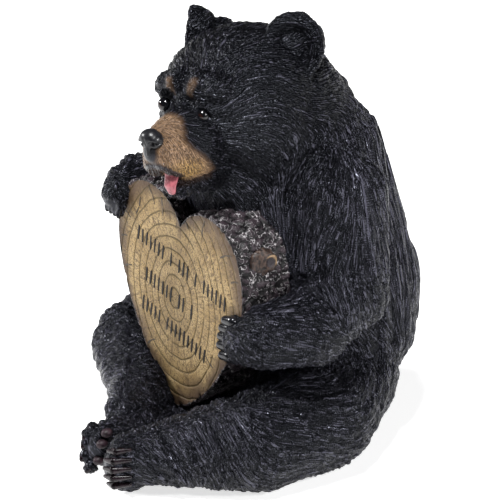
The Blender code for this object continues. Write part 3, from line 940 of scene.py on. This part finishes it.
def toe_claws():
    """Long claws laid round the left foot's end, and short ones on the right foot's toes."""
    made = []
    for height in LEFT_TOES:
        bend = around_foot(64, height, 0.9)
        made.append(bone(around_foot(27, height + 0.6, 0.5), bend, 0.9, 1.9))
        made.append(bone(bend, around_foot(97, height - 1.2, 0.2), 1.9, 0.9))
    for x, y, z in RIGHT_TOES:
        made.append(bone((x, y - 0.9, z), (x + 0.5, y - 2.4, z - 1), 2.2, 1.3))
    bunch = welded("toe_claws", made)
    points, _ = arrays_of(bunch.data)
    move_to(bunch, kept_inside(points))
    return rounded(bunch)


def toe_pads():
    """The soft pads that show under the right foot's toes."""
    return rounded(welded("toe_pads", [ball(place, (2.4, 3, 2.2)) for place in RIGHT_PADS]))


# Paints

class Paint:
    """A material whose nodes are added one after another."""

    STRETCH = 17.0  # the mean of many samples varies little, so it is drawn apart by this
    ROUNDING = 0.65  # below 1, strands are round and the furrows between them thin

    def __init__(self, name):
        self.material = bpy.data.materials.new(name)
        self.material.use_nodes = True
        self.tree = self.material.node_tree
        self.shader = self.tree.nodes["Principled BSDF"]

    def node(self, kind, out=0, inputs=None, **settings):
        made = self.tree.nodes.new("ShaderNode" + kind)
        for name, value in settings.items():
            setattr(made, name, value)
        for name, value in (inputs or {}).items():
            self.set(made.inputs[name], value)
        return made.outputs[out]

    def set(self, socket, value):
        if isinstance(value, bpy.types.NodeSocket):
            self.tree.links.new(value, socket)
        else:
            socket.default_value = value

    def math(self, operation, *values, clamp=False):
        return self.node("Math", inputs=dict(enumerate(values)), operation=operation, use_clamp=clamp)

    def field(self, name):
        return self.node("Attribute", "Fac", attribute_name=name)

    def noise(self, coords, size, detail=2.0):
        return self.node("TexNoise", "Fac", {"Vector": coords, "Scale": 1 / size, "Detail": detail})

    def band(self, value, low, high, to_low=0.0, to_high=1.0):
        """The value from low to high, as a smooth run between the two others."""
        wanted = {"Value": value, "From Min": low, "From Max": high, "To Min": to_low, "To Max": to_high}
        return self.node("MapRange", "Result", wanted, interpolation_type="SMOOTHSTEP")

    def blend(self, share, first, second):
        made = self.tree.nodes.new("ShaderNodeMix")
        made.data_type = "RGBA"
        for index, value in ((0, share), (6, first), (7, second)):
            if isinstance(value, tuple):
                value = (*value, 1)
            self.set(made.inputs[index], value)
        return made.outputs[2]

    def combed(self, coords, way, pitch, length, count):
        """Noise drawn out along the fur's way and folded: thin furrows at 0, round strands up to 1."""
        total = 0.0
        for step in np.linspace(-0.5, 0.5, count):
            moved = {0: way, 1: (step * length,) * 3, 2: coords}
            shift = self.node("VectorMath", inputs=moved, operation="MULTIPLY_ADD")
            total = self.math("ADD", self.noise(shift, pitch, 0.0), total)
        drawn = self.math("ABSOLUTE", self.math("MULTIPLY_ADD", total, 1 / count, -0.5))
        reach = self.node("VectorMath", "Value", {0: way}, operation="LENGTH")
        folded = self.math("MULTIPLY", drawn, self.math("MULTIPLY", reach, self.STRETCH), clamp=True)
        return self.math("POWER", folded, self.ROUNDING)

    def dent(self, height, depth):
        return self.node("Bump", "Normal", {"Height": height, "Distance": depth, "Strength": 1.0})

    def finish(self, colour, roughness, normal=None, **constants):
        self.set(self.shader.inputs["Base Color"], colour)
        self.set(self.shader.inputs["Roughness"], roughness)
        if normal:
            self.set(self.shader.inputs["Normal"], normal)
        for name, value in constants.items():
            self.shader.inputs[name.replace("_", " ")].default_value = value
        return self.material


def fur_paint():
    """Satin black over tooled fur, near black in the furrows as painted shade and cool grey on the crests,
    partly dry-brushed paint and partly painted highlight; sprayed tan on the muzzle and the brows, darker in
    its furrows as painted shade.
    """
    p = Paint("painted fur")
    coords = p.node("TexCoord", "Object")
    way = p.node("Attribute", "Vector", attribute_name="fur_way")
    strands = p.combed(coords, way, 0.0011, 0.016, 15)
    hairs = p.combed(coords, way, 0.0007, 0.008, 9)
    height = p.math("MULTIPLY_ADD", strands, 0.75, p.math("MULTIPLY", p.field("crest"), 0.25))
    # The black runs from near black in the furrows, painted shade, to cool grey on the crests, partly
    # dry-brushed paint and partly painted highlight.
    black = p.blend(p.band(height, 0.44, 1.0), (0.0003, 0.0003, 0.0006), (0.060, 0.059, 0.078))
    deep = (0.045, 0.025, 0.013)
    crown = p.blend(p.field("gold"), (0.26, 0.165, 0.10), (0.38, 0.235, 0.085))
    # The tan is darker in the furrows between the hairs: painted shade.
    tan = p.blend(p.band(hairs, 0.15, 0.75), (0.07, 0.042, 0.022), crown)
    sprayed = p.field("tan")
    colour = p.blend(p.band(sprayed, 0.3, 0.95), deep, tan)
    colour = p.blend(p.band(sprayed, 0.04, 0.45), black, colour)
    colour = p.blend(p.field("leather"), colour, (0.012, 0.012, 0.013))
    colour = p.blend(p.field("mouth"), colour, (0.022, 0.012, 0.008))
    roughness = p.band(height, 0.0, 1.0, 0.4, 0.17)
    softer = p.math("MULTIPLY", hairs, 0.5)
    relief = p.node("Mix", inputs={0: p.band(sprayed, 0.0, 0.5), 2: strands, 3: softer})
    normal = p.dent(p.math("MULTIPLY", relief, p.field("fur")), 0.001)
    cool = (0.80, 0.84, 1.0, 1.0)
    return p.finish(colour, roughness, normal, Specular_IOR_Level=0.23, Specular_Tint=cool)


def log_paint():
    """Tan cut wood with olive-brown growth rings and rays, dark and torn at the rim, and its bark, near black
    in the furrows as painted shade.
    """
    p = Paint("painted log")
    coords = p.node("TexCoord", "Object")
    ring = p.field("ring")
    share = p.field("share")
    fine = p.noise(coords, 0.0007, 2.0)
    speck = p.noise(coords, 0.0013, 3.0)
    stain = p.noise(coords, 0.012, 4.0)
    pith = (PITH[0], 0, HEART_TIP_HEIGHT + PITH[1])
    beside = p.node("VectorMath", inputs={0: coords, 1: pith}, operation="SUBTRACT")
    beside = p.node("VectorMath", inputs={0: beside, 1: (1, 0, 1)}, operation="MULTIPLY")
    reach = p.node("VectorMath", "Value", {0: beside}, operation="LENGTH")
    turned = p.node("VectorMath", inputs={0: beside}, operation="NORMALIZE")
    outward = p.node("CombineXYZ", inputs={"Y": p.math("MULTIPLY", reach, 7.0)})
    rays = p.noise(p.node("VectorMath", inputs={0: turned, 1: outward}, operation="ADD"), 0.035, 2.0)
    wood = p.blend(p.band(stain, 0.35, 0.65), (0.385, 0.275, 0.13), (0.275, 0.185, 0.078))
    wood = p.blend(p.band(rays, 0.30, 0.50), (0.16, 0.105, 0.05), wood)
    wood = p.blend(p.band(fine, 0.30, 0.55), (0.115, 0.075, 0.035), wood)
    wood = p.blend(p.band(speck, 0.57, 0.68), wood, (0.085, 0.055, 0.026))
    edge = p.math("MULTIPLY_ADD", stain, 0.3, share)
    wood = p.blend(p.band(edge, 0.92, 1.14), wood, (0.075, 0.046, 0.028))
    near = p.math("PINGPONG", ring, 0.5)
    line = p.math("SUBTRACT", 1.0, p.band(near, 0.03, 0.10))
    worn = p.math("MULTIPLY", line, p.band(p.noise(coords, 0.007), 0.30, 0.42))
    wood = p.blend(p.math("MULTIPLY", worn, 0.8), wood, (0.075, 0.05, 0.017))
    # The bark runs from near black in its furrows, painted shade, to dark purple-brown on its plates.
    plate = p.math("MULTIPLY_ADD", p.field("grit"), 0.5, p.math("SUBTRACT", 0.55, p.field("furrow")))
    bark = p.blend(p.band(plate, -0.2, 0.9), (0.002, 0.0015, 0.002), (0.033, 0.023, 0.029))
    loops = p.math("ABSOLUTE", p.math("SUBTRACT", p.noise(coords, 0.0026, 1.5), 0.5))
    ridge = p.math("SUBTRACT", 1.0, p.band(loops, 0.006, 0.030))
    brushed = p.math("MULTIPLY", ridge, p.band(p.noise(coords, 0.0035), 0.42, 0.54))
    bark = p.blend(p.math("MULTIPLY", brushed, 0.95), bark, (0.42, 0.40, 0.41))
    side = p.math("MULTIPLY_ADD", p.math("SUBTRACT", speck, 0.5), 0.9, p.field("bark"))
    side = p.math("ADD", side, p.band(share, 0.94, 1.0, 0.0, 0.3))
    colour = p.blend(p.band(side, 0.4, 0.6), wood, bark)
    grain = p.noise(coords, 0.0006, 4.0)
    height = p.math("ADD", p.math("MULTIPLY", grain, 0.5), p.math("MULTIPLY", worn, -0.6))
    height = p.math("MULTIPLY_ADD", p.band(rays, 0.30, 0.50), 0.35, height)
    height = p.math("MULTIPLY_ADD", p.math("MULTIPLY", ridge, p.field("bark")), 0.6, height)
    roughness = p.band(side, 0.3, 0.7, 0.6, 0.38)
    return p.finish(colour, roughness, p.dent(height, 0.0005), Specular_IOR_Level=0.28)


def plain_paint(name, colour, roughness, mottle=0.25, size=0.002, **constants):
    """One colour, faintly mottled and brushed."""
    p = Paint(name)
    coords = p.node("TexCoord", "Object")
    cloud = p.noise(coords, size, 3.0)
    darker = tuple(c * (1 - mottle) for c in colour)
    lighter = tuple(c * (1 + mottle) for c in colour)
    return p.finish(
        p.blend(p.band(cloud, 0.35, 0.65), darker, lighter),
        p.band(cloud, 0.3, 0.7, roughness * 0.85, roughness * 1.15),
        p.dent(cloud, 0.00008),
        **constants,
    )


def eye_paint():
    """Gloss black with a faint dark red iris."""
    p = Paint("eye gloss")
    iris = p.field("iris")
    brown = p.blend(p.band(iris, 1.0, 1.5), (0.003, 0.003, 0.003), (0.014, 0.005, 0.004))
    colour = p.blend(p.band(iris, 1.9, 2.5), brown, (0.003, 0.003, 0.004))
    return p.finish(colour, 0.12)


def knot_paint():
    """Bark brown, with a worn crescent of bare wood and a dark hollow."""
    p = Paint("knot")
    coords = p.node("TexCoord", "Object")
    cloud = p.noise(coords, 0.0015, 3.0)
    bark = p.blend(p.band(cloud, 0.35, 0.65), (0.008, 0.005, 0.005), (0.060, 0.037, 0.028))
    bark = p.blend(p.field("hollow"), bark, (0.022, 0.016, 0.019))
    cut = p.blend(cloud, (0.14, 0.085, 0.04), (0.40, 0.28, 0.17))
    return p.finish(p.blend(p.field("cut"), bark, cut), 0.4, p.dent(cloud, 0.0007), Specular_IOR_Level=0.35)


def stage():
    """A plain pale floor, soft studio light and the photograph's camera."""
    bpy.ops.mesh.primitive_plane_add(size=8)
    floor = bpy.context.object
    floor.name = "floor"
    white = plain_paint("floor white", (0.86, 0.86, 0.86), 0.7, mottle=0.01, size=0.5, Emission_Strength=0.7)
    floor.data.materials.append(white)
    world = bpy.data.worlds.new("studio")
    world.use_nodes = True
    world.node_tree.nodes["Background"].inputs["Color"].default_value = (1, 1, 1, 1)
    world.node_tree.nodes["Background"].inputs["Strength"].default_value = 0.04
    bpy.context.scene.world = world
    middle = Vector((0, 0, 0.11))
    for name, place, size, power in (
        ("overhead", (0.25, -0.25, 1.1), 0.2, 17),
        ("left strip", (-0.9, -0.7, 0.6), 0.15, 13),
        ("right strip", (1.1, 0.5, 0.7), 0.15, 9),
    ):
        bpy.ops.object.light_add(type="AREA", location=place)
        light = bpy.context.object
        light.name = name
        light.data.size = size
        light.data.energy = power
        light.rotation_euler = (middle - Vector(place)).to_track_quat("-Z", "Y").to_euler()
    azimuth, elevation = math.radians(55), math.radians(26)
    right = Vector((math.cos(azimuth), math.sin(azimuth), 0))
    toward = Vector((
        math.sin(azimuth) * math.cos(elevation), -math.cos(azimuth) * math.cos(elevation), math.sin(elevation)
    ))
    distance = 3.0
    seen = 500 / 2078  # metres across the picture at the target
    bpy.ops.object.camera_add(location=toward.cross(right) * 0.0825 + toward * distance)
    camera = bpy.context.object
    camera.rotation_euler = toward.to_track_quat("Z", "Y").to_euler()
    camera.data.sensor_width = 36
    camera.data.lens = 36 * distance / seen
    bpy.context.scene.camera = camera
    bpy.context.scene.view_settings.view_transform = "Standard"


def main():
    deselect()
    fur = fur_paint()
    black_gloss = plain_paint("black gloss", (0.006, 0.006, 0.008), 0.2, Specular_IOR_Level=0.35)
    ink = plain_paint("black strokes", (0.005, 0.004, 0.004), 0.6, Specular_IOR_Level=0.2)
    leather = plain_paint("nose black", (0.008, 0.008, 0.010), 0.34, Specular_IOR_Level=0.35)
    horn = plain_paint("claw purple", (0.009, 0.005, 0.007), 0.26, mottle=0.6, Specular_IOR_Level=0.25)
    pad = plain_paint("pad purple", (0.017, 0.008, 0.012), 0.5, mottle=0.5, Specular_IOR_Level=0.3)
    pieces = [
        *((part, fur, "black_fur") for part in bear()),
        (log(), log_paint(), "log_face"),
        (knot(), knot_paint(), "bark"),
        (marks(), ink, "gloss_details"),
        # The cracks' dark brown is painted shade for their gaps.
        (cracks(), plain_paint("crack brown", (0.035, 0.022, 0.010), 0.6), "log_face"),
        (eyes(), eye_paint(), "gloss_details"),
        (nose(), leather, "gloss_details"),
        (tongue(), plain_paint("tongue pink", (0.30, 0.083, 0.10), 0.3), "gloss_details"),
        (finger_claws(), black_gloss, "gloss_details"),
        (toe_claws(), horn, "gloss_details"),
        (toe_pads(), pad, "gloss_details"),
    ]
    for piece, material, slot in pieces:
        piece.data.materials.clear()
        piece.data.materials.append(material)
        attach(piece, "root")
        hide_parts(NODE)
    stage()


main()
deselect()
